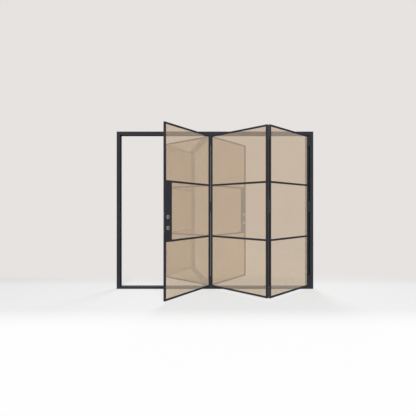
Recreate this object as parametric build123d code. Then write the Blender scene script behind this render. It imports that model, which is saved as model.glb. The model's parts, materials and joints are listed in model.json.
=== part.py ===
from build123d import *
from math import asin, atan2, cos, degrees, hypot, radians, sin
import os

# Three-leaf steel bifold patio door in its frame, all sizes in millimetres.
# X runs along the door to the right as seen from outside, Y into the room, Z up.
# The origin is the middle of the sill's underside, halfway through the frame.
# The folding pair is half open towards the viewer and the lead leaf is swung out.

# Frame
frame_width = 3000.0
frame_height = 2400.0
frame_depth = 90.0
jamb_face = 50.0
head_face = 50.0
sill_height = 30.0
sill_front_chamfer = 6.0
rim_width = 24.0          # outer band of the frame's face
rim_setback = 2.0         # how far that band lies behind the inner band

# Leaves
leaf_thickness = 24.0
leaf_plane_y = -8.0       # middle of the closed leaves
leaf_gap = 6.0            # between two closed leaves, and between a leaf and a jamb
top_clearance = 5.0
bottom_clearance = 4.0
stile_face = 24.0         # seen widths
rail_face = 21.0
bar_face = 22.0
rim_rebate = 11.0         # room for glass and bead beside a stile's or rail's web
bar_rebate = 8.0
flange_thickness = 8.0    # outer flange that the glass lies against
lower_bar_height = 804.0  # middle of the bar above the sill's underside
upper_bar_height = 1582.0

# Glazing
glass_thickness = 10.0
glass_bedding = 0.3       # tape between glass, flange and bead
glass_edge_gap = 3.0
bead_chamfer = 3.0

# Pose in the photograph
fold_angle = 40.4         # last leaf against the frame
lead_angle = 51.2         # lead leaf against the frame

# Hinges
hinge_height = 160.0
hinge_end_inset = 3.0     # from a leaf's top or bottom to its outer hinge
middle_hinge_height = 1257.0
jamb_pin_offset = 6.0     # pins of the jamb hinges, in front of the leaf
joint_pin_offset = 2.0    # pins between the lead and middle leaf, in front of them
fold_pin_offset = 1.0     # pins between the middle and last leaf, behind them
knuckle_radius = 7.0
knuckle_gap = 0.6         # between the two knuckles of a hinge
turning_gap = 1.0         # round a knuckle, in the stiles and the other flap
pin_radius = 4.0
pin_gap = 0.3
pin_rise = 60.0           # how far a pin stands up into the upper knuckle
flap_thickness = 2.5
flap_reach = 22.0         # how far a flap lies on its stile's edge
jamb_pin_inset = 14.0     # hinge pin's distance from the jamb

# Hanging gear in the head
track_width = 28.0
track_height = 38.0
track_wall = 2.5
track_slot = 12.0
hanger_radius = 5.0
wheel_radius = 12.0
wheel_width = 4.5
wheel_lip_gap = 0.3
wheel_wall_gap = 0.5
wheel_body_gap = 0.8
wheel_spacing = 52.0
axle_radius = 3.0
axle_gap = 0.3            # in the body's bores
carriage_length = 86.0
carriage_height = 18.0
carriage_end_chamfer = 4.0

# Guide in the sill
channel_width = 20.0
channel_depth = 16.0
channel_wall = 2.0
shoe_length = 34.0
shoe_height = 9.0
shoe_side_gap = 1.5
shoe_floor_gap = 0.3
shoe_end_chamfer = 2.0
guide_pin_radius = 4.0
guide_pin_gap = 0.3

# Lock in the lead leaf
lock_case_width = 130.0   # from the free edge, stile included
lock_backset = 57.0       # free edge to the middle of the roses
upper_rose_height = 1117.0
lower_rose_height = 975.0
rose_radius = 27.0
rose_hole_radius = 13.0
rose_thickness = 6.0
rose_edge_chamfer = 2.0
barrel_radius = 12.0
barrel_gap = 0.3
barrel_projection = 3.5   # past the case's faces
key_slot_height = 9.0
key_slot_width = 2.4
key_slot_depth = 4.0
faceplate_height = 260.0
faceplate_width = 20.0
faceplate_thickness = 3.0
bolt_width = 10.0
bolt_heights = (46.0, 30.0)
bolt_gap = 0.3
keep_lip = 2.0            # keep's extra width beside the faceplate
keep_thickness = 2.5
keep_mouth_depth = 8.0

# Seals and fixings
seal_width = 5.0
seal_groove_depth = 4.0
head_seal_projection = 10.0   # close behind the shut leaves
jamb_seal_projection = 14.0
seal_side_gap = 0.2
seal_y = 8.0
bulb_width = 10.0         # soft strip between two leaves, as it stands when they are folded
bulb_depth = 8.0
bulb_inset = 0.5          # from the leaf's face
bulb_end_gap = 4.0        # from the hinges
fixing_radius = 4.0
fixing_y = 32.0
fixing_end = 250.0        # from the frame's ends to the first fixing
fixing_spacing = 600.0    # on to the second one

# Worked out from the sizes above
half_width = frame_width / 2
half_depth = frame_depth / 2
half_clear = half_width - jamb_face
head_underside = frame_height - head_face
leaf_bottom = sill_height + bottom_clearance
leaf_top = head_underside - top_clearance
leaf_width = (2 * half_clear - 4 * leaf_gap) / 3
outer_face_y = leaf_plane_y - leaf_thickness / 2
room_face_y = leaf_plane_y + leaf_thickness / 2
flange_back_y = outer_face_y + flange_thickness
glass_front_y = flange_back_y + glass_bedding
glass_back_y = glass_front_y + glass_thickness
bead_front_y = glass_back_y + glass_bedding
stile_web = stile_face - rim_rebate
rail_web = rail_face - rim_rebate
bar_web = bar_face - 2 * bar_rebate
jamb_pin_y = outer_face_y - jamb_pin_offset
joint_pin_y = outer_face_y - joint_pin_offset
fold_pin_y = room_face_y + fold_pin_offset
track_y = joint_pin_y
fixing_heights = (fixing_end, fixing_end + fixing_spacing,
                  frame_height - fixing_end - fixing_spacing, frame_height - fixing_end)

# Left edges of the closed leaves
lead_left = -half_clear + leaf_gap
middle_left = lead_left + leaf_width + leaf_gap
last_left = middle_left + leaf_width + leaf_gap
leaf_left = {"lead": lead_left, "middle": middle_left, "last": last_left}
leaf_right = {leaf: left + leaf_width for leaf, left in leaf_left.items()}

# Hinge pins of the closed door
jamb_pin = (half_clear - jamb_pin_inset, jamb_pin_y)
fold_pin = (last_left - leaf_gap / 2, fold_pin_y)
joint_pin = (middle_left - leaf_gap / 2, joint_pin_y)
leaf_pins = {"lead": [joint_pin], "middle": [joint_pin, fold_pin], "last": [fold_pin, jamb_pin]}


def turned(point, centre, angle, new_centre):
    """Where a plan point goes when its leaf turns by an angle in degrees."""
    dx, dy = point[0] - centre[0], point[1] - centre[1]
    c, s = cos(radians(angle)), sin(radians(angle))
    return (new_centre[0] + c * dx - s * dy, new_centre[1] + s * dx + c * dy)


def turning(centre, angle, new_centre):
    """The move that carries a closed leaf to its place in the folded door."""
    return Pos(*new_centre, 0) * Rot(0, 0, angle) * Pos(-centre[0], -centre[1], 0)


# The last leaf turns on the jamb, and the track keeps the joint pin on its own line
open_fold_pin = turned(fold_pin, jamb_pin, fold_angle, jamb_pin)
pin_reach = (fold_pin[0] - joint_pin[0], joint_pin[1] - fold_pin[1])
pin_drop = track_y - open_fold_pin[1]
middle_angle = degrees(asin(pin_drop / hypot(*pin_reach)) - atan2(pin_reach[1], pin_reach[0]))
open_joint_pin = turned(joint_pin, fold_pin, -middle_angle, open_fold_pin)
leaf_move = {
    "last": turning(jamb_pin, fold_angle, jamb_pin),
    "middle": turning(fold_pin, -middle_angle, open_fold_pin),
    "lead": turning(joint_pin, lead_angle, open_joint_pin),
}


def block(x, y, z):
    """A box between two X values, two Y values and two Z values."""
    size = (x[1] - x[0], y[1] - y[0], z[1] - z[0])
    return Pos((x[0] + x[1]) / 2, (y[0] + y[1]) / 2, (z[0] + z[1]) / 2) * Box(*size)


def slab(outline, y):
    """An upright outline of X and Z values, extruded between two Y values."""
    face = make_face(Polyline(*outline, close=True))
    return extrude(Plane.XZ.offset(-y[0]) * face, amount=y[0] - y[1])


def bar_along_x(outline, x):
    """A cross-section of Y and Z values, extruded between two X values."""
    face = make_face(Polyline(*outline, close=True))
    return extrude(Plane.YZ.offset(x[0]) * face, amount=x[1] - x[0])


def post(centre, radius, z):
    """An upright round bar."""
    height = z[1] - z[0]
    return Pos(*centre, z[0]) * Cylinder(radius, height, align=(Align.CENTER, Align.CENTER, Align.MIN))


def rod_along_y(x, z, radius, y):
    """A round bar that runs through the door."""
    bar = Cylinder(radius, y[1] - y[0], align=(Align.CENTER, Align.CENTER, Align.MAX))
    return Pos(x, y[0], z) * Rot(90, 0, 0) * bar


def rod_along_x(y, z, radius, x):
    """A round bar that runs along the door."""
    bar = Cylinder(radius, x[1] - x[0], align=(Align.CENTER, Align.CENTER, Align.MIN))
    return Pos(x[0], y, z) * Rot(0, 90, 0) * bar


def save(name, shapes):
    """Write one node, as a single solid or as several that don't touch."""
    shapes = shapes if isinstance(shapes, list) else [shapes]
    solids = [solid for shape in shapes for solid in shape.solids()]
    part = solids[0] if len(solids) == 1 else Compound(children=solids)
    part.label = name
    export_step(part, f"parts/{name}.step")


# Frame
def jamb(side):
    """A mitred jamb: side is -1 for the left one and 1 for the right one."""
    outer = side * half_width
    step = side * (half_width - rim_width)
    inner = side * half_clear
    step_z = frame_height - rim_width
    rim = slab([(outer, 0), (step, 0), (step, step_z), (outer, frame_height)],
               (-half_depth + rim_setback, half_depth))
    body = slab([(step, 0), (inner, 0), (inner, head_underside), (step, step_z)],
                (-half_depth, half_depth))
    groove = block(sorted((inner, inner + side * seal_groove_depth)),
                   (seal_y - seal_width / 2, seal_y + seal_width / 2),
                   (sill_height, head_underside))
    part = rim + body - groove
    for height in fixing_heights:
        part -= rod_along_x(fixing_y, height, fixing_radius, sorted((inner, outer)))
    return part


def head():
    """The mitred head, with room for the track and a groove for its seal."""
    step, step_z = half_width - rim_width, frame_height - rim_width
    rim = slab([(-half_width, frame_height), (-step, step_z), (step, step_z), (half_width, frame_height)],
               (-half_depth + rim_setback, half_depth))
    body = slab([(-step, step_z), (-half_clear, head_underside), (half_clear, head_underside), (step, step_z)],
                (-half_depth, half_depth))
    recess = block((-half_clear, half_clear), (track_y - track_width / 2, track_y + track_width / 2),
                   (head_underside, head_underside + track_height))
    groove = block((-half_clear, half_clear), (seal_y - seal_width / 2, seal_y + seal_width / 2),
                   (head_underside, head_underside + seal_groove_depth))
    return rim + body - recess - groove


def head_track():
    """The extruded track: a box with a slot along its floor."""
    outside = block((-half_clear, half_clear), (track_y - track_width / 2, track_y + track_width / 2),
                    (head_underside, head_underside + track_height))
    room = track_width / 2 - track_wall
    hollow = block((-half_clear, half_clear), (track_y - room, track_y + room),
                   (head_underside + track_wall, head_underside + track_height - track_wall))
    slot = block((-half_clear, half_clear), (track_y - track_slot / 2, track_y + track_slot / 2),
                 (head_underside, head_underside + track_wall))
    return outside - hollow - slot


def sill():
    """The sill between the jambs, with its front edge eased and room for the guide channel."""
    outline = [(-half_depth, 0), (half_depth, 0), (half_depth, sill_height),
               (-half_depth + sill_front_chamfer, sill_height), (-half_depth, sill_height - sill_front_chamfer)]
    recess = block((-half_clear, half_clear), (track_y - channel_width / 2, track_y + channel_width / 2),
                   (sill_height - channel_depth, sill_height))
    return bar_along_x(outline, (-half_clear, half_clear)) - recess


def sill_channel():
    """The guide channel, flush with the top of the sill."""
    outside = block((-half_clear, half_clear), (track_y - channel_width / 2, track_y + channel_width / 2),
                    (sill_height - channel_depth, sill_height))
    room = channel_width / 2 - channel_wall
    hollow = block((-half_clear, half_clear), (track_y - room, track_y + room),
                   (sill_height - channel_depth + channel_wall, sill_height))
    return outside - hollow


def frame_seals():
    """One strip in each jamb's groove and one in the head's."""
    across = (seal_y - seal_width / 2 + seal_side_gap, seal_y + seal_width / 2 - seal_side_gap)
    upright = (sill_height, head_underside - head_seal_projection - seal_side_gap)
    strips = []
    for side in (-1, 1):
        x = sorted((side * (half_clear + seal_groove_depth), side * (half_clear - jamb_seal_projection)))
        strips.append(block(x, across, upright))
    z = (head_underside - head_seal_projection, head_underside + seal_groove_depth)
    strips.append(block((-half_clear, half_clear), across, z))
    return strips


# Leaves
def mitred_bar(outer_a, inner_a, inner_b, outer_b, y):
    """A slab between an outer and an inner line, with its ends cut to their corners."""
    return slab([outer_a, inner_a, inner_b, outer_b], y)


def ring_sides(outer, inner, y):
    """The four mitred sides between an outer and an inner rectangle: left, right, top and bottom."""
    (ox, oz), (ix, iz) = outer, inner
    left = mitred_bar((ox[0], oz[0]), (ix[0], iz[0]), (ix[0], iz[1]), (ox[0], oz[1]), y)
    right = mitred_bar((ox[1], oz[0]), (ix[1], iz[0]), (ix[1], iz[1]), (ox[1], oz[1]), y)
    top = mitred_bar((ox[0], oz[1]), (ix[0], iz[1]), (ix[1], iz[1]), (ox[1], oz[1]), y)
    bottom = mitred_bar((ox[0], oz[0]), (ix[0], iz[0]), (ix[1], iz[0]), (ox[1], oz[0]), y)
    return left, right, top, bottom


def inset(rectangle, across, up):
    """A rectangle of X and Z ranges made smaller at its sides, and at its top and bottom."""
    x, z = rectangle
    return ((x[0] + across, x[1] - across), (z[0] + up, z[1] - up))


def leaf_outline(name):
    """The X and Z ranges of a closed leaf."""
    left = leaf_left[name]
    return ((left, left + leaf_width), (leaf_bottom, leaf_top))


def stiles_and_rails(name):
    """Two stiles and two rails, each an outer flange on a narrower web, mitred at the corners."""
    outline = leaf_outline(name)
    flanges = ring_sides(outline, inset(outline, stile_face, rail_face), (outer_face_y, flange_back_y))
    webs = ring_sides(outline, inset(outline, stile_web, rail_web), (flange_back_y, room_face_y))
    members = []
    for flange, web in zip(flanges, webs):
        member = flange + web
        for pin in leaf_pins[name]:
            for bottom in hinge_bottoms():
                reach = hinge_end_inset + turning_gap
                member -= post(pin, knuckle_radius + turning_gap, (bottom - reach, bottom + hinge_height + reach))
        members.append(member)
    return members


def glazing_bars(name):
    """Two bars across the leaf, each a flange between the stiles' flanges and a web between their webs."""
    (x0, x1), _ = leaf_outline(name)
    bars = []
    for height in (lower_bar_height, upper_bar_height):
        flange = block((x0 + stile_face, x1 - stile_face), (outer_face_y, flange_back_y),
                       (height - bar_face / 2, height + bar_face / 2))
        web = block((x0 + stile_web, x1 - stile_web), (flange_back_y, room_face_y),
                    (height - bar_web / 2, height + bar_web / 2))
        bars.append(flange + web)
    return bars


def pane_openings(name):
    """For each of the three panes, the opening between the webs and the one between the flanges."""
    (x0, x1), (z0, z1) = leaf_outline(name)
    web_z = [z0 + rail_web, lower_bar_height - bar_web / 2, lower_bar_height + bar_web / 2,
             upper_bar_height - bar_web / 2, upper_bar_height + bar_web / 2, z1 - rail_web]
    seen_z = [z0 + rail_face, lower_bar_height - bar_face / 2, lower_bar_height + bar_face / 2,
              upper_bar_height - bar_face / 2, upper_bar_height + bar_face / 2, z1 - rail_face]
    openings = []
    for row in range(3):
        web_left, seen_left = x0 + stile_web, x0 + stile_face
        if name == "lead" and row == 1:
            seen_left = x0 + lock_case_width
            web_left = seen_left - rim_rebate
        low, high = 2 * row, 2 * row + 1
        webs = ((web_left, x1 - stile_web), (web_z[low], web_z[high]))
        seen = ((seen_left, x1 - stile_face), (seen_z[low], seen_z[high]))
        openings.append((webs, seen))
    return openings


def panes(name):
    """Three panes that stand clear of the webs and lie against the flanges."""
    glass = []
    for webs, _ in pane_openings(name):
        x, z = inset(webs, glass_edge_gap, glass_edge_gap)
        glass.append(block(x, (glass_front_y, glass_back_y), z))
    return glass


def beads(name):
    """Four mitred beads round each pane, on the room side, with their inner edge eased."""
    strips = []
    for webs, seen in pane_openings(name):
        middle_x = (seen[0][0] + seen[0][1]) / 2
        middle_z = (seen[1][0] + seen[1][1]) / 2
        for strip in ring_sides(webs, seen, (bead_front_y, room_face_y)):
            room_edges = strip.edges().filter_by(lambda e: abs(e.center().Y - room_face_y) < 0.01)
            inner = room_edges.sort_by(lambda e: hypot(e.center().X - middle_x, e.center().Z - middle_z))[0]
            strips.append(chamfer(inner, bead_chamfer))
    return strips


# Lock
def lock_heights():
    """The middle height of the faceplate and the range that it covers."""
    middle = (upper_rose_height + lower_rose_height) / 2
    return middle, (middle - faceplate_height / 2, middle + faceplate_height / 2)


def bolt_ranges():
    """The height ranges of the latch and the dead bolt, level with the two roses."""
    middles = (upper_rose_height, lower_rose_height)
    return [(m - h / 2, m + h / 2) for m, h in zip(middles, bolt_heights)]


def lock_case():
    """The solid panel beside the free stile, with a rebate for the pane and two bores."""
    (x0, _), _ = leaf_outline("lead")
    plate = block((x0 + stile_face, x0 + lock_case_width), (outer_face_y, flange_back_y),
                  (lower_bar_height + bar_face / 2, upper_bar_height - bar_face / 2))
    body = block((x0 + stile_web, x0 + lock_case_width - rim_rebate), (flange_back_y, room_face_y),
                 (lower_bar_height + bar_web / 2, upper_bar_height - bar_web / 2))
    part = plate + body
    for height in (upper_rose_height, lower_rose_height):
        part -= rod_along_y(x0 + lock_backset, height, barrel_radius + barrel_gap, (outer_face_y, room_face_y))
    return part


def lock_roses():
    """A round rose at each bore, outside and inside."""
    x = leaf_left["lead"] + lock_backset
    roses = []
    for height in (upper_rose_height, lower_rose_height):
        for face_y, out in ((outer_face_y, -1), (room_face_y, 1)):
            y = sorted((face_y, face_y + out * rose_thickness))
            disc = rod_along_y(x, height, rose_radius, y)
            rim = disc.edges().filter_by(GeomType.CIRCLE).sort_by(Axis.Y)
            disc = chamfer(rim[0] if out < 0 else rim[-1], rose_edge_chamfer)
            roses.append(disc - rod_along_y(x, height, rose_hole_radius, y))
    return roses


def lock_barrels():
    """The key barrels, with an upright slot at each end."""
    x = leaf_left["lead"] + lock_backset
    ends = (outer_face_y - barrel_projection, room_face_y + barrel_projection)
    barrels = []
    for height in (upper_rose_height, lower_rose_height):
        barrel = rod_along_y(x, height, barrel_radius, ends)
        slot_x = (x - key_slot_width / 2, x + key_slot_width / 2)
        slot_z = (height - key_slot_height / 2, height + key_slot_height / 2)
        barrel -= block(slot_x, (ends[0], ends[0] + key_slot_depth), slot_z)
        barrel -= block(slot_x, (ends[1] - key_slot_depth, ends[1]), slot_z)
        barrels.append(barrel)
    return barrels


def faceplate_room():
    """The recess in the free stile's edge."""
    x = leaf_left["lead"]
    half = faceplate_width / 2
    return block((x, x + faceplate_thickness), (leaf_plane_y - half, leaf_plane_y + half), lock_heights()[1])


def lock_faceplate():
    """The plate in the free edge, and the two bolts drawn back flush with it."""
    x = leaf_left["lead"]
    plate = faceplate_room()
    bolts = []
    for z in bolt_ranges():
        half = bolt_width / 2
        bolts.append(block((x, x + faceplate_thickness), (leaf_plane_y - half, leaf_plane_y + half), z))
        half += bolt_gap
        plate -= block((x, x + faceplate_thickness), (leaf_plane_y - half, leaf_plane_y + half),
                       (z[0] - bolt_gap, z[1] + bolt_gap))
    return [plate] + bolts


def keep_outline():
    """The Y and Z ranges of the keep in the left jamb."""
    half = faceplate_width / 2 + keep_lip
    return (leaf_plane_y - half, leaf_plane_y + half), lock_heights()[1]


def keep_mouths(depth):
    """The two mouths that take the bolts, cut to a depth into the jamb."""
    half = bolt_width / 2 + bolt_gap
    return [block((-half_clear - depth, -half_clear), (leaf_plane_y - half, leaf_plane_y + half),
                  (z[0] - bolt_gap, z[1] + bolt_gap)) for z in bolt_ranges()]


def lock_keep():
    """The keep, let into the left jamb."""
    y, z = keep_outline()
    plate = block((-half_clear - keep_thickness, -half_clear), y, z)
    for mouth in keep_mouths(keep_thickness):
        plate -= mouth
    return plate


# Hinges
def hinge_bottoms():
    """The lower ends of the three hinges on each line."""
    return (leaf_bottom + hinge_end_inset, middle_hinge_height - hinge_height / 2,
            leaf_top - hinge_end_inset - hinge_height)


def knuckle_ranges(bottom):
    """The height ranges of a hinge's lower and upper knuckle."""
    middle = bottom + hinge_height / 2
    return (bottom, middle - knuckle_gap / 2), (middle + knuckle_gap / 2, bottom + hinge_height)


def hinge_flaps(pin, edge_x, side, face_y, upper):
    """The flaps with the lower knuckles and their pins, or those with the upper knuckles.

    Side is -1 for a flap on the right edge of what lies to the pin's left, and 1 for one to its right.
    """
    x = sorted((edge_x, edge_x - side * flap_thickness))
    inward = 1 if pin[1] < face_y else -1
    flaps = []
    for bottom in hinge_bottoms():
        low, high = knuckle_ranges(bottom)
        own, other = (high, low) if upper else (low, high)
        whole = (bottom, bottom + hinge_height)
        flap = block(x, sorted((pin[1], face_y + inward * flap_reach)), whole)
        flap += block(sorted((pin[0], x[0] if side > 0 else x[1])),
                      sorted((pin[1], pin[1] + inward * flap_thickness)), whole)
        flap -= post(pin, knuckle_radius + turning_gap, (other[0] - knuckle_gap, other[1] + knuckle_gap))
        flap += post(pin, knuckle_radius, own)
        pin_top = low[1] + pin_rise
        if upper:
            flap -= post(pin, pin_radius + pin_gap, (own[0], pin_top + pin_gap))
        else:
            flap += post(pin, pin_radius, (own[1], pin_top))
        flaps.append(flap)
    return flaps


# Soft strips between the leaves
def meeting_bulbs(edge_x, side, face_y, inward):
    """Strips on a leaf's left edge (side -1) or right edge (1), near one of its faces, between its three hinges."""
    x = sorted((edge_x, edge_x + side * bulb_width))
    bottoms = hinge_bottoms()
    start = face_y + inward * bulb_inset
    y = sorted((start, start + inward * bulb_depth))
    strips = []
    for lower, upper in zip(bottoms, bottoms[1:]):
        z = (lower + hinge_height + bulb_end_gap, upper - bulb_end_gap)
        strips.append(block(x, y, z))
    return strips


# Hanging gear
lip_top = head_underside + track_wall
wheel_centre_z = lip_top + wheel_lip_gap + wheel_radius
wheel_inner = track_width / 2 - track_wall - wheel_wall_gap - wheel_width
body_half = wheel_inner - wheel_body_gap
wheel_xs = (open_joint_pin[0] - wheel_spacing / 2, open_joint_pin[0] + wheel_spacing / 2)
hanger_bottom = leaf_top - hinge_end_inset


def carriage_body():
    """The carriage between its wheels, with the hanger that stands on the top joint hinge."""
    x, y = open_joint_pin
    half = carriage_length / 2
    z = (wheel_centre_z - carriage_height / 2, wheel_centre_z + carriage_height / 2)
    body = block((x - half, x + half), (y - body_half, y + body_half), z)
    body = chamfer(body.edges().filter_by(Axis.Z), carriage_end_chamfer)
    for wheel_x in wheel_xs:
        body -= rod_along_y(wheel_x, wheel_centre_z, axle_radius + axle_gap, (y - body_half, y + body_half))
    return body + post(open_joint_pin, hanger_radius, (hanger_bottom, z[0]))


def carriage_wheels():
    """Two wheelsets: each axle turns in the body and carries a wheel on both sides, over the track's lips."""
    reach = wheel_inner + wheel_width
    wheelsets = []
    for wheel_x in wheel_xs:
        wheelset = rod_along_y(wheel_x, wheel_centre_z, axle_radius, (track_y - reach, track_y + reach))
        for side in (-1, 1):
            y = sorted((track_y + side * wheel_inner, track_y + side * reach))
            wheelset += rod_along_y(wheel_x, wheel_centre_z, wheel_radius, y)
        wheelsets.append(wheelset)
    return wheelsets


# Guide
shoe_floor = sill_height - channel_depth + channel_wall + shoe_floor_gap
shoe_top = shoe_floor + shoe_height
guide_top = leaf_bottom + hinge_end_inset


def guide_shoe():
    """The shoe that slides in the channel, with a bore for its pin."""
    x, y = open_joint_pin
    half_across = channel_width / 2 - channel_wall - shoe_side_gap
    shoe = block((x - shoe_length / 2, x + shoe_length / 2), (y - half_across, y + half_across),
                 (shoe_floor, shoe_top))
    shoe = chamfer(shoe.edges().filter_by(Axis.Z), shoe_end_chamfer)
    return shoe - post(open_joint_pin, guide_pin_radius + guide_pin_gap, (shoe_floor, shoe_top))


def guide_pin():
    """The pin below the lowest joint hinge, down into the shoe."""
    return post(open_joint_pin, guide_pin_radius, (shoe_floor, guide_top))


os.makedirs("parts", exist_ok=True)

# Frame nodes
left_jamb = jamb(-1)
keep_y, keep_z = keep_outline()
left_jamb -= block((-half_clear - keep_thickness, -half_clear), keep_y, keep_z)
for mouth in keep_mouths(keep_mouth_depth):
    left_jamb -= mouth
save("left_jamb", left_jamb)
save("right_jamb", jamb(1))
save("head", head())
save("head_track", head_track())
save("sill", sill())
save("sill_channel", sill_channel())
save("lock_keep", lock_keep())

# Leaf nodes
for leaf, move in leaf_move.items():
    left_stile, right_stile, top_rail, bottom_rail = stiles_and_rails(leaf)
    if leaf == "lead":
        left_stile -= faceplate_room()
    save(f"{leaf}_leaf_left_stile", move * left_stile)
    save(f"{leaf}_leaf_right_stile", move * right_stile)
    save(f"{leaf}_leaf_top_rail", move * top_rail)
    save(f"{leaf}_leaf_bottom_rail", move * bottom_rail)
    save(f"{leaf}_leaf_glazing_bars", [move * bar for bar in glazing_bars(leaf)])
    save(f"{leaf}_leaf_glass", [move * pane for pane in panes(leaf)])
    save(f"{leaf}_leaf_beads", [move * bead for bead in beads(leaf)])

# Lock nodes
lead_move = leaf_move["lead"]
save("lock_case", lead_move * lock_case())
save("lock_roses", [lead_move * rose for rose in lock_roses()])
save("lock_barrels", [lead_move * barrel for barrel in lock_barrels()])
save("lock_faceplate", [lead_move * piece for piece in lock_faceplate()])

# Soft strips of the frame and of the two folds
soft_strips = frame_seals()
bulb_places = [
    ("last", leaf_left["last"], -1, room_face_y, -1),
    ("middle", leaf_left["middle"], -1, room_face_y, -1),
    ("lead", leaf_right["lead"], 1, outer_face_y, 1),
]
for leaf, edge_x, side, face_y, inward in bulb_places:
    soft_strips += [leaf_move[leaf] * bulb for bulb in meeting_bulbs(edge_x, side, face_y, inward)]
save("weather_seals", soft_strips)

# Hinge nodes: the side nearer the jamb carries the lower knuckles and the pins
hinge_lines = [
    ("jamb_hinge_frame_flaps", None, jamb_pin, half_clear, 1, outer_face_y, False),
    ("jamb_hinge_leaf_flaps", "last", jamb_pin, leaf_right["last"], -1, outer_face_y, True),
    ("fold_hinge_last_flaps", "last", fold_pin, leaf_left["last"], 1, room_face_y, False),
    ("fold_hinge_middle_flaps", "middle", fold_pin, leaf_right["middle"], -1, room_face_y, True),
    ("joint_hinge_middle_flaps", "middle", joint_pin, leaf_left["middle"], 1, outer_face_y, False),
    ("joint_hinge_lead_flaps", "lead", joint_pin, leaf_right["lead"], -1, outer_face_y, True),
]
for name, leaf, pin, edge_x, side, face_y, upper in hinge_lines:
    flaps = hinge_flaps(pin, edge_x, side, face_y, upper)
    save(name, [leaf_move[leaf] * flap if leaf else flap for flap in flaps])

# Hanging gear and guide nodes
save("carriage_body", carriage_body())
save("carriage_wheels", carriage_wheels())
save("guide_shoe", guide_shoe())
save("guide_pin", guide_pin())

print("middle leaf angle", round(middle_angle, 2))
print("fold pin", [round(v, 1) for v in open_fold_pin])
print("joint pin", [round(v, 1) for v in open_joint_pin])
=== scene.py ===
import json
import math

import bmesh
import bpy
from mathutils import Matrix, Vector


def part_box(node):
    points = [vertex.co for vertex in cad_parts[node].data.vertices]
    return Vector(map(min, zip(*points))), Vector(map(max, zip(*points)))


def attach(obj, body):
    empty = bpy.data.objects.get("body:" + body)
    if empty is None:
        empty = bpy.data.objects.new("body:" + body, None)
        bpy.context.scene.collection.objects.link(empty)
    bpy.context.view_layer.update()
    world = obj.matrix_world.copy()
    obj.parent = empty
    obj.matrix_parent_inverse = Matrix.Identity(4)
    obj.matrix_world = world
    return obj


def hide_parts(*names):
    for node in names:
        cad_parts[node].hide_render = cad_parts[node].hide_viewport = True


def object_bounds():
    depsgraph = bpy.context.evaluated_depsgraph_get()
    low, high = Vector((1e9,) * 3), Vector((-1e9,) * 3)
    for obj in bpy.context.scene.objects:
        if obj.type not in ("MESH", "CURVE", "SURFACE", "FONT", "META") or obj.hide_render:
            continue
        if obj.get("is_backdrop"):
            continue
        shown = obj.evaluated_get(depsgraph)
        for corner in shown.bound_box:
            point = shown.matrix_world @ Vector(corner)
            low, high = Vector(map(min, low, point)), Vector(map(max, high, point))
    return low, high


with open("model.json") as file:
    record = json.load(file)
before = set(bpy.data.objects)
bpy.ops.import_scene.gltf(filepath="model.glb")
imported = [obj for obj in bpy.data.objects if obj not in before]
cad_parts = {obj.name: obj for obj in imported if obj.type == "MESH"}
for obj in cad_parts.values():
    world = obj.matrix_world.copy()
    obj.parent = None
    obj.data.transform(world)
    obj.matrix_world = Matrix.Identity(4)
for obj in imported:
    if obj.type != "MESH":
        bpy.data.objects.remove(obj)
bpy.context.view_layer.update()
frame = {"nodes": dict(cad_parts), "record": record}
nodes = frame["nodes"]
record = frame["record"]
up = Vector((0, 0, 1))
print("frame loaded with", len(nodes), "nodes")

# distances below which points count as one, as level, as on the same face and as on an axis
near = {"onePoint": 1e-6, "level": 1e-5, "sameFace": 1e-4, "axis": 1e-7}


# the separate solids of a node, each as a list of its corner points
def solidsOf(node):
    bm = bmesh.new()
    bm.from_mesh(nodes[node].data)
    bmesh.ops.remove_doubles(bm, verts=bm.verts, dist=near["onePoint"])
    solids, seen = [], set()
    for start in bm.verts:
        if start in seen:
            continue
        seen.add(start)
        found, waiting = [], [start]
        while waiting:
            vert = waiting.pop()
            found.append(vert.co.copy())
            for edge in vert.link_edges:
                other = edge.other_vert(vert)
                if other not in seen:
                    seen.add(other)
                    waiting.append(other)
        solids.append(found)
    bm.free()
    return solids


# lowest and highest corner of some points, measured in a space
def boxIn(points, space):
    back = space.inverted()
    local = [back @ p for p in points]
    low = Vector([min(p[i] for p in local) for i in range(3)])
    high = Vector([max(p[i] for p in local) for i in range(3)])
    return low, high


def nodeBox(node, space):
    return boxIn([v.co for v in nodes[node].data.vertices], space)


# a leaf's space: x along it from its left edge, y inward from its outer face, z up
def leafSpace(leaf):
    pane = min(solidsOf(leaf + "_leaf_glass"), key=lambda points: min(p.z for p in points))
    foot = min(p.z for p in pane)
    corners = [p.to_2d() for p in pane if p.z - foot < near["level"]]
    first = corners[0]
    along = sorted((c - first for c in corners[1:]), key=lambda d: d.length)[1].normalized()
    if along.x < 0:
        along = -along
    inward = Vector((-along.y, along.x))
    rail = [v.co.to_2d() for v in nodes[leaf + "_leaf_bottom_rail"].data.vertices]
    start = along * min(along.dot(p) for p in rail) + inward * min(inward.dot(p) for p in rail)
    return Matrix(((along.x, inward.x, 0, start.x), (along.y, inward.y, 0, start.y),
                   (0, 0, 1, 0), (0, 0, 0, 1)))


leafNames = ("lead", "middle", "last")
leafSpaces = {leaf: leafSpace(leaf) for leaf in leafNames}
leadSpace = leafSpaces["lead"]
doorSpace = Matrix.Identity(4)
for leaf in leafNames:
    turn = leafSpaces[leaf].to_euler().z
    print(leaf, "leaf turned by", round(math.degrees(turn), 2), "degrees")


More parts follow.
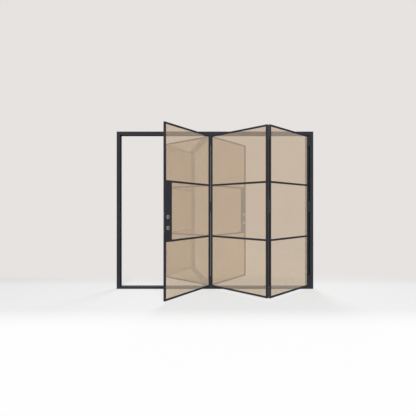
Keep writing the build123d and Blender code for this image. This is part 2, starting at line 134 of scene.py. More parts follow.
# turns a profile of (radius, height) pairs round the z axis of a space, open at both ends
def lathe(bm, profile, space, steps=32, shapeAt=None):
    rings = []
    for index, (radius, height) in enumerate(profile):
        if radius < near["axis"]:
            rings.append([bm.verts.new(space @ Vector((0, 0, height)))])
            continue
        ring = []
        for step in range(steps):
            angle = 2 * math.pi * step / steps
            reach = shapeAt(index, radius, angle) if shapeAt else radius
            point = Vector((reach * math.cos(angle), reach * math.sin(angle), height))
            ring.append(bm.verts.new(space @ point))
        rings.append(ring)
    for low, high in zip(rings, rings[1:]):
        for step in range(steps):
            after = (step + 1) % steps
            if len(low) == 1:
                bm.faces.new((low[0], high[after], high[step]))
            elif len(high) == 1:
                bm.faces.new((low[step], low[after], high[0]))
            else:
                bm.faces.new((low[step], low[after], high[after], high[step]))


# a frame-shaped strip round a rectangle: profile holds (distance in from the edge, height) pairs
def ringStrip(bm, space, xRange, zRange, yFoot, outward, profile):
    loops = []
    for inset, height in profile:
        y = yFoot + outward * height
        corners = ((xRange[0] + inset, zRange[0] + inset), (xRange[1] - inset, zRange[0] + inset),
                   (xRange[1] - inset, zRange[1] - inset), (xRange[0] + inset, zRange[1] - inset))
        loops.append([bm.verts.new(space @ Vector((x, y, z))) for x, z in corners])
    for index, loop in enumerate(loops):
        after = loops[(index + 1) % len(loops)]
        for corner in range(4):
            nextCorner = (corner + 1) % 4
            bm.faces.new((loop[corner], loop[nextCorner], after[nextCorner], after[corner]))


# a straight strip: the outline's points lie across the run, which goes along the space's z
def strip(bm, space, outline, run):
    ends = [[bm.verts.new(space @ Vector((x, y, z))) for x, y in outline] for z in run]
    count = len(outline)
    for index in range(count):
        after = (index + 1) % count
        bm.faces.new((ends[0][index], ends[0][after], ends[1][after], ends[1][index]))
    bm.faces.new(ends[0])
    bm.faces.new(ends[1])


smoothAngle = math.radians(40)  # faces that meet at less than this look rounded


# turns the built mesh into a piece that rides with the door
def addPiece(name, bm, material, replaced=()):
    bmesh.ops.recalc_face_normals(bm, faces=bm.faces)
    mesh = bpy.data.meshes.new(name)
    bm.to_mesh(mesh)
    bm.free()
    mesh.materials.append(material)
    piece = bpy.data.objects.new(name, mesh)
    bpy.context.scene.collection.objects.link(piece)
    mesh.shade_smooth()
    mesh.set_sharp_from_angle(angle=smoothAngle)
    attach(piece, "root")
    if replaced:
        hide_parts(*replaced)


# a space with its z axis along a direction, at a point
def spaceAt(point, direction):
    turn = Vector(direction).to_track_quat("Z", "Y").to_matrix().to_4x4()
    return Matrix.Translation(point) @ turn


# materials, all procedural and read in object space
def newMaterial(name):
    material = bpy.data.materials.new(name)
    material.use_nodes = True
    tree = material.node_tree
    shader = tree.nodes["Principled BSDF"]
    return material, tree, shader


def link(tree, source, target):
    tree.links.new(source, target)


def addNode(tree, kind, **settings):
    node = tree.nodes.new(kind)
    for key, value in settings.items():
        if key in node.inputs:
            node.inputs[key].default_value = value
        else:
            setattr(node, key, value)
    return node


def objectPlace(tree):
    return addNode(tree, "ShaderNodeTexCoord").outputs["Object"]


def splitAxes(tree, source):
    node = addNode(tree, "ShaderNodeSeparateXYZ")
    link(tree, source, node.inputs[0])
    return node.outputs


def noise(tree, scale, detail, roughness=0.55, stretch=None):
    node = addNode(tree, "ShaderNodeTexNoise")
    node.inputs["Scale"].default_value = scale
    node.inputs["Detail"].default_value = detail
    node.inputs["Roughness"].default_value = roughness
    place = objectPlace(tree)
    if stretch:
        mapping = addNode(tree, "ShaderNodeMapping")
        mapping.inputs["Scale"].default_value = stretch
        link(tree, place, mapping.inputs["Vector"])
        place = mapping.outputs["Vector"]
    link(tree, place, node.inputs["Vector"])
    return node.outputs["Fac"]


def remap(tree, value, fromRange, toRange, smooth=False):
    node = addNode(tree, "ShaderNodeMapRange")
    if smooth:
        node.interpolation_type = "SMOOTHSTEP"
    for key, number in zip(("From Min", "From Max", "To Min", "To Max"), (*fromRange, *toRange)):
        node.inputs[key].default_value = number
    link(tree, value, node.inputs["Value"])
    return node.outputs["Result"]


def mathNode(tree, operation, a, b):
    node = addNode(tree, "ShaderNodeMath", operation=operation)
    for socket, value in zip(node.inputs, (a, b)):
        if isinstance(value, (int, float)):
            socket.default_value = value
        else:
            link(tree, value, socket)
    return node.outputs["Value"]


def mixColours(tree, factor, a, b):
    node = addNode(tree, "ShaderNodeMix", data_type="RGBA")
    link(tree, factor, node.inputs["Factor"])
    colours = [s for s in node.inputs if s.type == "RGBA"]
    for socket, value in zip(colours, (a, b)):
        if isinstance(value, (tuple, list)):
            socket.default_value = (*value, 1)
        else:
            link(tree, value, socket)
    return next(s for s in node.outputs if s.type == "RGBA")


def addBump(tree, shader, height, strength, distance):
    node = addNode(tree, "ShaderNodeBump")
    node.inputs["Strength"].default_value = strength
    node.inputs["Distance"].default_value = distance
    link(tree, height, node.inputs["Height"])
    link(tree, node.outputs["Normal"], shader.inputs["Normal"])


# the stretch of a noise's values that a change is spread over
spans = {"most": (0.3, 0.7), "dust": (0.35, 0.65), "wear": (0.42, 0.62), "stain": (0.5, 0.75),
         "cloud": (0.35, 0.7), "smear": (0.3, 0.8)}
bumpDepth = {"coarse": 0.0002, "fine": 0.0001}
edgeFinder = {"samples": 6, "turn": (0.995, 0.86)}  # turn: cosine on an open face and on a worn edge


# 1 at worn corners and edges, 0 on open faces
def edgeMask(tree, width):
    bevel = addNode(tree, "ShaderNodeBevel", samples=edgeFinder["samples"])
    bevel.inputs["Radius"].default_value = width
    flat = addNode(tree, "ShaderNodeNewGeometry")
    dot = addNode(tree, "ShaderNodeVectorMath", operation="DOT_PRODUCT")
    link(tree, bevel.outputs["Normal"], dot.inputs[0])
    link(tree, flat.outputs["True Normal"], dot.inputs[1])
    return remap(tree, dot.outputs["Value"], edgeFinder["turn"], (0.0, 1.0))


# powder coat: fine orange peel, dust that settles low and on upward faces, rubbed edges
def paintMaterial(name, look):
    material, tree, shader = newMaterial(name)
    cloud = noise(tree, look["cloudScale"], 4)
    speck = noise(tree, look["speckScale"], 2)
    pale = remap(tree, cloud, spans["most"], (0, 1))
    colour = mixColours(tree, pale, look["colour"], look["paleColour"])
    facing = splitAxes(tree, addNode(tree, "ShaderNodeNewGeometry").outputs["Normal"])
    place = splitAxes(tree, objectPlace(tree))
    upward = remap(tree, facing["Z"], look["dustSlope"], (0, look["dustOnTop"]))
    low = remap(tree, place["Z"], (look["dustHeight"], 0.0), (0, look["dustLow"]), smooth=True)
    patchy = remap(tree, cloud, spans["dust"], look["dustPatches"])
    dust = mathNode(tree, "MULTIPLY", mathNode(tree, "ADD", upward, low), patchy)
    colour = mixColours(tree, dust, colour, look["dustColour"])
    rubbed = remap(tree, speck, spans["wear"], (0, look["edgeWear"]))
    wear = mathNode(tree, "MULTIPLY", edgeMask(tree, look["edgeWidth"]), rubbed)
    colour = mixColours(tree, wear, colour, look["edgeColour"])
    link(tree, colour, shader.inputs["Base Color"])
    rough = remap(tree, noise(tree, look["smearScale"], 5), spans["most"], look["roughness"])
    dusty = mathNode(tree, "MULTIPLY", dust, look["dustRoughness"])
    link(tree, mathNode(tree, "ADD", rough, dusty), shader.inputs["Roughness"])
    shader.inputs["Specular IOR Level"].default_value = look["gloss"]
    addBump(tree, shader, noise(tree, look["peelScale"], 1), look["peelStrength"], bumpDepth["coarse"])
    return material


# brushed or plated metal: streaks along one direction, and a few darker patches
def metalMaterial(name, look):
    material, tree, shader = newMaterial(name)
    streaks = noise(tree, look["streakScale"], 4, 0.6, look["streakStretch"])
    patches = noise(tree, look["patchScale"], 3)
    pale = remap(tree, streaks, spans["most"], (0, 1))
    stained = remap(tree, patches, spans["stain"], (0, look["stain"]))
    colour = mixColours(tree, pale, look["colour"], look["paleColour"])
    colour = mixColours(tree, stained, colour, look["stainColour"])
    link(tree, colour, shader.inputs["Base Color"])
    shader.inputs["Metallic"].default_value = look["metallic"]
    link(tree, remap(tree, streaks, spans["most"], look["roughness"]), shader.inputs["Roughness"])
    addBump(tree, shader, streaks, look["bump"], bumpDepth["fine"])
    return material


# rubber and plastic: matt, slightly clouded, with a fine grain
def softMaterial(name, look):
    material, tree, shader = newMaterial(name)
    cloud = noise(tree, look["cloudScale"], 4)
    grain = noise(tree, look["grainScale"], 2)
    colour = mixColours(tree, remap(tree, cloud, spans["cloud"], (0, 1)), look["colour"], look["paleColour"])
    link(tree, colour, shader.inputs["Base Color"])
    link(tree, remap(tree, grain, spans["most"], look["roughness"]), shader.inputs["Roughness"])
    shader.inputs["Specular IOR Level"].default_value = look["gloss"]
    addBump(tree, shader, grain, look["bump"], bumpDepth["coarse"])
    return material


# tinted glass: a thin uneven film of dust over a clear warm body
def glassMaterial(name, look):
    material, tree, shader = newMaterial(name)
    film = noise(tree, look["filmScale"], 4, 0.6)
    wipe = noise(tree, look["wipeScale"], 3, 0.5, look["wipeStretch"])
    colour = mixColours(tree, remap(tree, film, spans["most"], (0, 1)), look["colour"], look["deepColour"])
    link(tree, colour, shader.inputs["Base Color"])
    link(tree, remap(tree, wipe, spans["most"], look["clearness"]), shader.inputs["Transmission Weight"])
    link(tree, remap(tree, wipe, spans["smear"], look["roughness"]), shader.inputs["Roughness"])
    shader.inputs["IOR"].default_value = look["ior"]
    shader.inputs["Specular Tint"].default_value = (*look["tint"], 1)
    addBump(tree, shader, film, look["bump"], bumpDepth["fine"])
    return material


framePaintLook = {
    "colour": (0.0305, 0.0325, 0.0395), "paleColour": (0.0365, 0.039, 0.0465), "cloudScale": 2.5,
    "speckScale": 110.0, "smearScale": 7.0, "roughness": (0.5, 0.64), "gloss": 0.04,
    "dustColour": (0.17, 0.165, 0.155), "dustOnTop": 0.08, "dustLow": 0.04, "dustHeight": 0.22,
    "dustSlope": (0.4, 1.0), "dustPatches": (0.5, 1.0), "dustRoughness": 0.3,
    "edgeWidth": 0.0012, "edgeWear": 0.2, "edgeColour": (0.12, 0.125, 0.13),
    "peelScale": 900.0, "peelStrength": 0.25,
}
hingePaintLook = dict(
    framePaintLook, colour=(0.04, 0.0425, 0.049), paleColour=(0.05, 0.053, 0.06), edgeWear=0.45,
    edgeColour=(0.26, 0.26, 0.26), roughness=(0.42, 0.55), gloss=0.2)
roseLook = {
    "colour": (0.47, 0.47, 0.47), "paleColour": (0.56, 0.56, 0.56), "stainColour": (0.34, 0.34, 0.34),
    "streakScale": 160.0, "streakStretch": (1, 1, 9), "patchScale": 30.0, "stain": 0.3,
    "metallic": 1.0, "roughness": (0.26, 0.38), "bump": 0.06,
}
barrelLook = dict(
    roseLook, colour=(0.05, 0.05, 0.052), paleColour=(0.085, 0.085, 0.087),
    stainColour=(0.03, 0.03, 0.03), roughness=(0.3, 0.45))
gearLook = dict(
    roseLook, colour=(0.44, 0.44, 0.43), paleColour=(0.56, 0.56, 0.54), streakScale=30.0,
    streakStretch=(0.15, 1, 1), roughness=(0.32, 0.5))
trackLook = dict(
    gearLook, colour=(0.085, 0.09, 0.095), paleColour=(0.12, 0.125, 0.13),
    stainColour=(0.05, 0.05, 0.05), metallic=0.8)
brassLook = dict(
    roseLook, colour=(0.55, 0.40, 0.17), paleColour=(0.66, 0.50, 0.24), stainColour=(0.28, 0.19, 0.08))
sealLook = {
    "colour": (0.012, 0.012, 0.013), "paleColour": (0.024, 0.024, 0.024), "cloudScale": 5.0,
    "grainScale": 700.0, "roughness": (0.6, 0.85), "gloss": 0.3, "bump": 0.3,
}
plasticLook = dict(
    sealLook, colour=(0.05, 0.05, 0.052), paleColour=(0.075, 0.075, 0.077), roughness=(0.42, 0.6), gloss=0.4)
glassLook = {
    "colour": (0.66, 0.535, 0.40), "deepColour": (0.64, 0.515, 0.38), "filmScale": 1.6,
    "wipeScale": 3.0, "wipeStretch": (1.0, 1.0, 0.35), "clearness": (0.965, 0.985),
    "roughness": (0.0, 0.01), "ior": 2.75, "tint": (1.0, 0.87, 0.75), "bump": 0.01,
}

finishes = {
    "frame_paint": paintMaterial("framePaint", framePaintLook),
    "hinge_paint": paintMaterial("hingePaint", hingePaintLook),
    "pane_glass": glassMaterial("paneGlass", glassLook),
    "rose_steel": metalMaterial("roseSteel", roseLook),
    "barrel_metal": metalMaterial("barrelMetal", barrelLook),
    "gear_steel": metalMaterial("gearSteel", gearLook),
    "track_aluminium": metalMaterial("trackAluminium", trackLook),
    "seal_rubber": softMaterial("sealRubber", sealLook),
    "glide_plastic": softMaterial("glidePlastic", plasticLook),
}
washerBrass = metalMaterial("washerBrass", brassLook)
for part in record["subparts"]:
    for materialSlot in nodes[part["node"]].material_slots:
        materialSlot.material = finishes[part["material_slot"]]
print("finishes on every node")


# gaskets between the panes and what holds them
gasket = {"face": 0.0026, "height": 0.0020, "crown": 0.0024, "crownAt": 0.0006,
          "shoulder": 0.0016, "shoulderAt": 0.0018, "tuck": 0.0004, "lift": 0.0001}
gasketProfile = [(-gasket["tuck"], gasket["lift"]), (-gasket["tuck"], gasket["height"]),
                 (gasket["crownAt"], gasket["crown"]), (gasket["shoulderAt"], gasket["shoulder"]),
                 (gasket["face"], gasket["lift"])]


# the seen opening of each pane, read from the stiles, rails and bars round it
def paneOpenings(leaf):
    space = leafSpaces[leaf]
    node = leaf + "_leaf_"
    left = nodeBox(node + "left_stile", space)[1].x
    right = nodeBox(node + "right_stile", space)[0].x
    bottom = nodeBox(node + "bottom_rail", space)[1].z
    top = nodeBox(node + "top_rail", space)[0].z
    bars = sorted((boxIn(points, space) for points in solidsOf(node + "glazing_bars")),
                  key=lambda bar: bar[0].z)
    edges = [bottom, bars[0][0].z, bars[0][1].z, bars[1][0].z, bars[1][1].z, top]
    openings = []
    for row in range(3):
        start = left
        if leaf == "lead" and row == 1:  # the lock's case stands in this one
            start = nodeBox("lock_case", space)[1].x
        openings.append(((start, right), (edges[2 * row], edges[2 * row + 1])))
    return openings


bm = bmesh.new()
for leaf in leafNames:
    glassLow, glassHigh = nodeBox(leaf + "_leaf_glass", leafSpaces[leaf])
    for xRange, zRange in paneOpenings(leaf):
        ringStrip(bm, leafSpaces[leaf], xRange, zRange, glassLow.y, -1, gasketProfile)
        ringStrip(bm, leafSpaces[leaf], xRange, zRange, glassHigh.y, 1, gasketProfile)
addPiece("glazing_gaskets", bm, finishes["seal_rubber"])
print("gaskets round the panes")


# soft strips in the frame and on the leaf edges
sealShape = {
    "footDepth": 0.004, "footHalf": 0.0019, "lipHalf": 0.0023, "lipGap": 0.0002, "lipFlat": 0.001,
    "lipEnd": 0.0016, "stemHalf": 0.0015, "noseLength": 0.0045, "noseSteps": 8, "noseTurn": 0.8,
    "noseStart": 0.2, "tipLength": 0.0012, "tipShare": 0.72, "tipHalf": 0.0006,
    "bulbSteps": 5, "bulbCorner": 0.0013, "bulbFoot": 0.0012, "bulbWaist": 0.8, "bulbShoulder": 1.4,
    "bulbEnd": 0.0024, "ribs": (0.62, 0.36, 0.12), "ribDepth": 0.00025, "ribHalf": 0.0002,
}
sealPlaces = {"headRun": 1.0, "jambFrom": 1.4, "bulbWidest": 0.02}  # tell the three kinds apart


# a soft block with round corners, a narrower foot and fine ribs on its nose
def bulbOutline(reach, width):
    half, corner, foot = width / 2, sealShape["bulbCorner"], sealShape["bulbFoot"]
    waist = half * sealShape["bulbWaist"]
    side = [(0.0, waist), (-foot, waist), (-foot * sealShape["bulbShoulder"], half)]
    for step in range(sealShape["bulbSteps"] + 1):
        angle = math.radians(90 * step / sealShape["bulbSteps"])
        side.append((-reach + corner - corner * math.sin(angle), half - corner + corner * math.cos(angle)))
    for rib in sealShape["ribs"]:
        y = (half - corner) * rib
        side += [(-reach + sealShape["ribDepth"], y + sealShape["ribHalf"]), (-reach, y)]
    return [(x, -y) for x, y in side] + side[::-1]


# a foot in the groove, two lips on the frame, a thin stem and a round nose
def stopOutline(reach):
    foot, lip, stem = sealShape["footHalf"], sealShape["lipHalf"], sealShape["stemHalf"]
    length, steps = sealShape["noseLength"], sealShape["noseSteps"]
    start = reach - length
    side = [(-sealShape["footDepth"], foot), (-sealShape["lipGap"], foot), (0.0, lip),
            (sealShape["lipFlat"], lip), (sealShape["lipEnd"], stem), (start, stem)]
    for step in range(1, steps):
        angle = math.pi * (1 - step / steps * sealShape["noseTurn"]) - math.pi * sealShape["noseStart"]
        side.append((start + length * step / steps, stem + (lip - stem) * math.sin(angle)))
    tip = reach - sealShape["tipLength"]
    nose = [(x, y * (1 if x < tip else sealShape["tipShare"])) for x, y in side]
    nose.append((reach, sealShape["tipHalf"]))
    return [(x, -y) for x, y in nose] + nose[::-1]


# along the head, with its nose down
def headSeal(bm, low, high, middle):
    foot = high.z - sealShape["footDepth"]
    space = Matrix.Translation((0, middle.y, foot)) @ Matrix.Rotation(math.radians(90), 4, "Y")
    strip(bm, space, stopOutline(foot - low.z), (low.x, high.x))


# in a jamb, with its nose towards the opening
def jambSeal(bm, low, high, middle):
    side = 1 if middle.x < 0 else -1
    face = low.x + sealShape["footDepth"] if side > 0 else high.x - sealShape["footDepth"]
    space = Matrix.Translation((face, middle.y, 0)) @ Matrix.Diagonal((side, 1, 1, 1))
    strip(bm, space, stopOutline(high.x - low.x - sealShape["footDepth"]), (low.z, high.z))


# a bulb on the upright edge of whichever leaf these points lie against
def leafSeal(bm, points):
    for leaf in leafNames:
        space = leafSpaces[leaf]
        low, high = boxIn(points, space)
        width = nodeBox(leaf + "_leaf_bottom_rail", space)[1].x
        onLeft = abs(high.x) < near["sameFace"]
        onRight = abs(low.x - width) < near["sameFace"]
        if not (onLeft or onRight) or high.y - low.y >= sealPlaces["bulbWidest"]:
            continue
        side = -1 if onLeft else 1
        foot = Matrix.Translation((max(low.x, 0) if side > 0 else 0, (low.y + high.y) / 2, 0))
        run = (low.z - sealShape["bulbEnd"], high.z + sealShape["bulbEnd"])
        outline = bulbOutline(high.x - low.x, high.y - low.y)
        strip(bm, space @ foot @ Matrix.Diagonal((-side, 1, 1, 1)), outline, run)


bm = bmesh.new()
for points in solidsOf("weather_seals"):
    low, high = boxIn(points, doorSpace)
    middle = (low + high) / 2
    if high.x - low.x > sealPlaces["headRun"]:
        headSeal(bm, low, high, middle)
    elif abs(middle.x) > sealPlaces["jambFrom"]:
        jambSeal(bm, low, high, middle)
    else:
        leafSeal(bm, points)
addPiece("weather_seal_strips", bm, finishes["seal_rubber"], ["weather_seals"])
print("seals in the frame and between the leaves")


# thin ribbed strips between the hinges, on the two edges that meet at the fold
edgeStrip = {
    "thickness": 0.0008, "inset": 0.0015, "width": 0.0095, "endGap": 0.01, "hingeGap": 0.003, "ribs": 4,
    "ribStart": 0.15, "ribStop": 0.6, "grooveAt": 0.8, "grooveShare": 0.5, "tuck": 0.0002,
}


def edgeStripOutline():
    thickness, tuck = edgeStrip["thickness"], edgeStrip["tuck"]
    pitch = edgeStrip["width"] / edgeStrip["ribs"]
    outline = [(-tuck, 0)]
    for rib in range(edgeStrip["ribs"]):
        outline += [(thickness, pitch * (rib + edgeStrip["ribStart"])),
                    (thickness, pitch * (rib + edgeStrip["ribStop"])),
                    (thickness * edgeStrip["grooveShare"], pitch * (rib + edgeStrip["grooveAt"]))]
    outline.append((-tuck, edgeStrip["width"]))
    return outline


bm = bmesh.new()
for leaf, edge, stile in (("last", -1, "left_stile"), ("middle", 1, "right_stile")):
    space = leafSpaces[leaf]
    low, high = nodeBox(leaf + "_leaf_" + stile, space)
    flaps = sorted((box[0].z, box[1].z) for box in
                   (boxIn(points, space) for points in solidsOf("fold_hinge_" + leaf + "_flaps")))
    starts = [low.z + edgeStrip["endGap"]] + [flap[1] + edgeStrip["hingeGap"] for flap in flaps]
    stops = [flap[0] - edgeStrip["hingeGap"] for flap in flaps] + [high.z - edgeStrip["endGap"]]
    foot = Matrix.Translation((low.x if edge < 0 else high.x, low.y + edgeStrip["inset"], 0))
    for run in zip(starts, stops):
        strip(bm, space @ foot @ Matrix.Diagonal((edge, 1, 1, 1)), edgeStripOutline(), run)
addPiece("fold_edge_strips", bm, finishes["seal_rubber"])
print("strips on the edges at the fold")


# small parts of the hinges
hinge = {
    "knuckleRadius": 0.007, "screwRow": 0.008, "screwEnd": 0.02, "screwCount": 4, "screwRadius": 0.0040,
    "socket": 0.0016, "washerInner": 0.0042, "washerRadius": 0.0067, "washerHeight": 0.0005,
    "capRadius": 0.0062, "capEdge": 0.0005, "capShoulder": 0.001, "capShoulderShare": 0.85,
    "capTopShare": 0.5, "capHeight": 0.0012,
}
# node, leaf that carries it, edge of the leaf, pin towards the outside
hingeSides = [
    ("jamb_hinge_frame_flaps", None, -1, True), ("jamb_hinge_leaf_flaps", "last", 1, True),
    ("fold_hinge_last_flaps", "last", -1, False), ("fold_hinge_middle_flaps", "middle", 1, False),
    ("joint_hinge_middle_flaps", "middle", -1, True), ("joint_hinge_lead_flaps", "lead", 1, True),
]
# one of each hinge's two nodes, from which its washer and caps are placed
pinNodes = ("jamb_hinge_frame_flaps", "fold_hinge_last_flaps", "joint_hinge_middle_flaps")

screwHead = {"rim": 0.00015, "shoulder": 0.0004, "shoulderShare": 0.86, "mouth": 0.00042,
             "socketDepth": 0.0006, "socketTaper": 0.96, "steps": 24}
socketMouth = 3  # place of the socket's mouth in the profile of a screw


# round outside, hexagonal from the socket's mouth inwards
def socketShape(index, radius, angle):
    if index < socketMouth:
        return radius
    corner = (angle % math.radians(60)) - math.radians(30)
    return radius / math.cos(corner)


# the head of a countersunk screw, a little proud of the face that it sits in
def screw(bm, point, direction, radius, socket):
    profile = [(radius, 0), (radius, screwHead["rim"]),
               (radius * screwHead["shoulderShare"], screwHead["shoulder"]), (socket, screwHead["mouth"]),
               (socket * screwHead["socketTaper"], -screwHead["socketDepth"]), (0, -screwHead["socketDepth"])]
    lathe(bm, profile, spaceAt(point, direction), screwHead["steps"], socketShape)


# a washer halfway up a hinge and a cap on each end of its pin
def washerAndCaps(space, low, high, outside):
    reach = hinge["knuckleRadius"]
    axis = space @ Vector((low.x + reach, low.y + reach if outside else high.y - reach, 0))
    middle = (low.z + high.z) / 2
    half, inner, outer = hinge["washerHeight"] / 2, hinge["washerInner"], hinge["washerRadius"]
    ring = [(inner, -half), (outer, -half), (outer, half), (inner, half), (inner, -half)]
    lathe(washers, ring, spaceAt((axis.x, axis.y, middle), up))
    radius, tall = hinge["capRadius"], hinge["capHeight"]
    dome = [(radius, 0), (radius, hinge["capEdge"]),
            (radius * hinge["capShoulderShare"], hinge["capShoulder"]),
            (radius * hinge["capTopShare"], tall), (0, tall)]
    lathe(caps, dome, spaceAt((axis.x, axis.y, high.z), up))
    lathe(caps, dome, spaceAt((axis.x, axis.y, low.z), -up))


screws = bmesh.new()
washers = bmesh.new()
caps = bmesh.new()
for node, leaf, edge, outside in hingeSides:
    space = leafSpaces[leaf] if leaf else doorSpace
    outward = (space.to_3x3() @ Vector((edge, 0, 0))).normalized()
    for points in solidsOf(node):
        low, high = boxIn(points, space)
        row = high.y - hinge["screwRow"] if outside else low.y + hinge["screwRow"]
        tailEnd = high.y if outside else low.y
        local = [space.inverted() @ p for p in points]
        face = max(p.x * edge for p in local if abs(p.y - tailEnd) < near["sameFace"]) * edge
        span = high.z - low.z - 2 * hinge["screwEnd"]
        for index in range(hinge["screwCount"]):
            z = low.z + hinge["screwEnd"] + span * index / (hinge["screwCount"] - 1)
            screw(screws, space @ Vector((face, row, z)), outward, hinge["screwRadius"], hinge["socket"])
        if node in pinNodes:
            washerAndCaps(space, low, high, outside)
addPiece("hinge_screws", screws, finishes["gear_steel"])
addPiece("hinge_washers", washers, washerBrass)
addPiece("hinge_caps", caps, finishes["hinge_paint"])
print("hinge screws, washers and caps")


# roses and screws of the lock
lock = {
    "screwInset": 0.012, "screwRadius": 0.0035, "socket": 0.0014, "roseSteps": 72,
    "roseProfile": [(0.0270, 0.0), (0.0270, 0.0034), (0.0266, 0.0044), (0.0256, 0.0053), (0.0240, 0.0059),
                    (0.0222, 0.0060), (0.0186, 0.0060), (0.0183, 0.0056), (0.0177, 0.0056), (0.0174, 0.0060),
                    (0.0146, 0.0060), (0.0136, 0.0056), (0.0131, 0.0048), (0.0130, 0.0003), (0.0270, 0.0)],
}
bm = bmesh.new()
for points in solidsOf("lock_roses"):
    low, high = boxIn(points, leadSpace)
    middle = (low + high) / 2
    outside = middle.y < 0
    foot = leadSpace @ Vector((middle.x, high.y if outside else low.y, middle.z))
    direction = leadSpace.to_3x3() @ Vector((0, -1 if outside else 1, 0))
    lathe(bm, lock["roseProfile"], spaceAt(foot, direction), lock["roseSteps"])
addPiece("rose_rings", bm, finishes["rose_steel"], ["lock_roses"])

# node, space, which end of its box is the face with the screws, and where that faces along x
plates = [("lock_faceplate", leadSpace, 0, -1), ("lock_keep", doorSpace, 1, 1)]
bm = bmesh.new()
for node, space, end, facing in plates:
    box = nodeBox(node, space)
    middleY = (box[0].y + box[1].y) / 2
    outward = space.to_3x3() @ Vector((facing, 0, 0))
    for z in (box[0].z + lock["screwInset"], box[1].z - lock["screwInset"]):
        point = space @ Vector((box[end].x, middleY, z))
        screw(bm, point, outward, lock["screwRadius"], lock["socket"])
addPiece("plate_screws", bm, finishes["rose_steel"])
print("lock roses and plate screws")


# caps over the frame's fixings
fixingCap = {"radius": 0.0065, "height": 0.0012, "stem": 0.0037, "depth": 0.006, "edge": 0.4,
             "shoulder": 0.8, "shoulderShare": 0.85, "topShare": 0.5}
radius, tall, stem = fixingCap["radius"], fixingCap["height"], fixingCap["stem"]
fixingProfile = [(stem, -fixingCap["depth"]), (stem, 0), (radius, 0), (radius, tall * fixingCap["edge"]),
                 (radius * fixingCap["shoulderShare"], tall * fixingCap["shoulder"]),
                 (radius * fixingCap["topShare"], tall), (0, tall)]
jambFace = {-1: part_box("left_jamb")[1].x, 1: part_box("right_jamb")[0].x}
bm = bmesh.new()
for mount in record["mounts"]:
    if mount["kind"] != "bolt_pattern":
        continue
    x, y, z = mount["pos_m"]
    side = 1 if x > 0 else -1
    half = mount["dims"]["spacing_y_mm"] / 2000  # half the spacing, in metres
    for height in (z - half, z + half):
        lathe(bm, fixingProfile, spaceAt((jambFace[side], y, height), (-side, 0, 0)))
addPiece("fixing_caps", bm, finishes["glide_plastic"])
print("caps over the fixings")


# pale backdrop and soft light
# floorGlow: least share of glow, and the share reached in front; worldLight: strength in front and behind
studio = {
    "backdrop": (0.79, 0.765, 0.752), "paleFloor": (1.0, 1.0, 1.0), "floorColour": (0.90, 0.90, 0.90),
    "floorBounce": (0.28, 0.28, 0.28), "floorRadius": 40.0, "floorSides": 96, "floorDrop": 0.0005,
    "floorRoughness": 0.7, "floorGloss": 0.2, "floorGlow": (0.56, 0.96), "frontFade": (-0.2, -1.6),
    "backFade": (0.02, 1.0), "farFade": (3.6, 10.0), "worldColour": (1.0, 1.0, 1.0),
    "worldLight": (0.22, 0.12), "worldTurn": (-0.3, 0.4),
}


# 1 where a ray from the camera, a reflection or a view through glass sees the surface
def seenRay(tree):
    path = addNode(tree, "ShaderNodeLightPath")
    seen = mathNode(tree, "MAXIMUM", path.outputs["Is Camera Ray"], path.outputs["Is Glossy Ray"])
    return mathNode(tree, "MAXIMUM", seen, path.outputs["Is Transmission Ray"])


def mixShaders(tree, share, first, second):
    node = addNode(tree, "ShaderNodeMixShader")
    for source, target in zip((share, first, second), node.inputs):
        link(tree, source, target)
    return node.outputs[0]


def addShader(tree, kind, colour):
    node = addNode(tree, kind)
    node.inputs["Color"].default_value = (*colour, 1)
    return node


# more of the soft light comes from the front than from behind the door
world = bpy.data.worlds.new("paleSurround")
bpy.context.scene.world = world
world.use_nodes = True
tree = world.node_tree
towards = splitAxes(tree, addNode(tree, "ShaderNodeTexCoord").outputs["Generated"])
lit = tree.nodes["Background"]
lit.inputs["Color"].default_value = (*studio["worldColour"], 1)
link(tree, remap(tree, towards["Y"], studio["worldTurn"], studio["worldLight"]), lit.inputs["Strength"])
shown = addShader(tree, "ShaderNodeBackground", studio["backdrop"])
mixed = mixShaders(tree, seenRay(tree), lit.outputs[0], shown.outputs[0])
link(tree, mixed, tree.nodes["World Output"].inputs["Surface"])

bm = bmesh.new()
bmesh.ops.create_circle(bm, cap_ends=True, segments=studio["floorSides"], radius=studio["floorRadius"])
floorMesh = bpy.data.meshes.new("studio_floor")
bm.to_mesh(floorMesh)
bm.free()
floor = bpy.data.objects.new("studio_floor", floorMesh)
bpy.context.scene.collection.objects.link(floor)
floor.location.z = -studio["floorDrop"]
floor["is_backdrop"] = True

# the floor glows in front, fades into the backdrop behind and far off, and keeps a soft shadow
floorMaterial, tree, shader = newMaterial("paleFloor")
shader.inputs["Base Color"].default_value = (*studio["floorColour"], 1)
shader.inputs["Roughness"].default_value = studio["floorRoughness"]
shader.inputs["Specular IOR Level"].default_value = studio["floorGloss"]
floorPlace = splitAxes(tree, objectPlace(tree))
far = addNode(tree, "ShaderNodeVectorMath", operation="LENGTH")
link(tree, objectPlace(tree), far.inputs[0])
back = remap(tree, floorPlace["Y"], studio["backFade"], (0, 1), smooth=True)
around = remap(tree, far.outputs["Value"], studio["farFade"], (0, 1), smooth=True)
behind = mathNode(tree, "MAXIMUM", back, around)
front = remap(tree, floorPlace["Y"], studio["frontFade"], (0, studio["floorGlow"][1]), smooth=True)
share = mathNode(tree, "MAXIMUM", mathNode(tree, "MAXIMUM", behind, front), studio["floorGlow"][0])
glow = addNode(tree, "ShaderNodeEmission")
link(tree, mixColours(tree, behind, studio["paleFloor"], studio["backdrop"]), glow.inputs["Color"])
dull = addShader(tree, "ShaderNodeBsdfDiffuse", studio["floorBounce"])  # for the rays that only carry light
shown = mixShaders(tree, share, shader.outputs[0], glow.outputs[0])
shown = mixShaders(tree, seenRay(tree), dull.outputs[0], shown)
path = addNode(tree, "ShaderNodeLightPath")
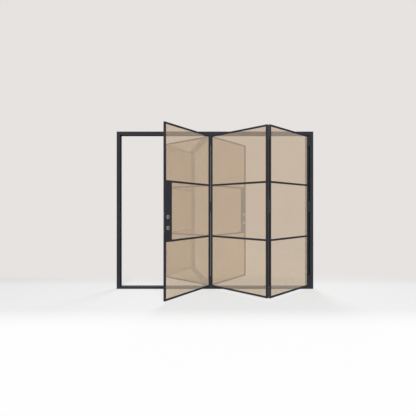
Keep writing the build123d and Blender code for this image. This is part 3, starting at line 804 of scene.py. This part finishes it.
reflected = mathNode(tree, "SUBTRACT", path.outputs["Is Glossy Ray"], path.outputs["Is Transmission Ray"])
mirrored = addShader(tree, "ShaderNodeEmission", studio["backdrop"])
shown = mixShaders(tree, reflected, shown, mirrored.outputs[0])
link(tree, shown, tree.nodes["Material Output"].inputs["Surface"])
floorMesh.materials.append(floorMaterial)

softboxes = [
    {"name": "keyBox", "place": (-1.2, -11.0, 6.4), "aim": (0, 0, 1.1), "size": 4.0, "power": 700.0},
    {"name": "fillBox", "place": (1.6, -11.0, 4.4), "aim": (0, 0, 1.1), "size": 4.0, "power": 660.0},
    {"name": "backBox", "place": (1.0, 4.5, 4.2), "aim": (0, 0, 1.1), "size": 3.0, "power": 165.0},
]
for box in softboxes:
    lamp = bpy.data.lights.new(box["name"], "AREA")
    lamp.shape = "DISK"
    lamp.size = box["size"]
    lamp.energy = box["power"]
    lampObject = bpy.data.objects.new(box["name"], lamp)
    bpy.context.scene.collection.objects.link(lampObject)
    lampObject.visible_camera = lampObject.visible_transmission = lampObject.visible_glossy = False
    lampObject.location = box["place"]
    ahead = Vector(box["aim"]) - Vector(box["place"])
    lampObject.rotation_euler = ahead.to_track_quat("-Z", "Y").to_euler()
print("studio lit")


# pixelsPerMetre holds at the frame's front face, in a picture imageWidth pixels wide
view = {"imageWidth": 416, "pixelsPerMetre": 65.58, "distance": 4.54, "x": -0.174, "height": 1.2335,
        "sensor": 36.0, "framing": 4.44}
cameraData = bpy.data.cameras.new("frontView")
camera = bpy.data.objects.new("frontView", cameraData)
bpy.context.scene.collection.objects.link(camera)
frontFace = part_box("sill")[0].y
camera.location = (view["x"], frontFace - view["distance"], view["height"])
camera.rotation_euler = (math.radians(90), 0, 0)
cameraData.sensor_width = view["sensor"]
cameraData.lens = view["pixelsPerMetre"] * view["distance"] / view["imageWidth"] * view["sensor"]
cameraData.shift_x = view["framing"] / view["imageWidth"]
bpy.context.scene.camera = camera
bpy.context.scene.view_settings.view_transform = "Standard"
print("camera lens", round(cameraData.lens, 2), "mm")

low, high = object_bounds()
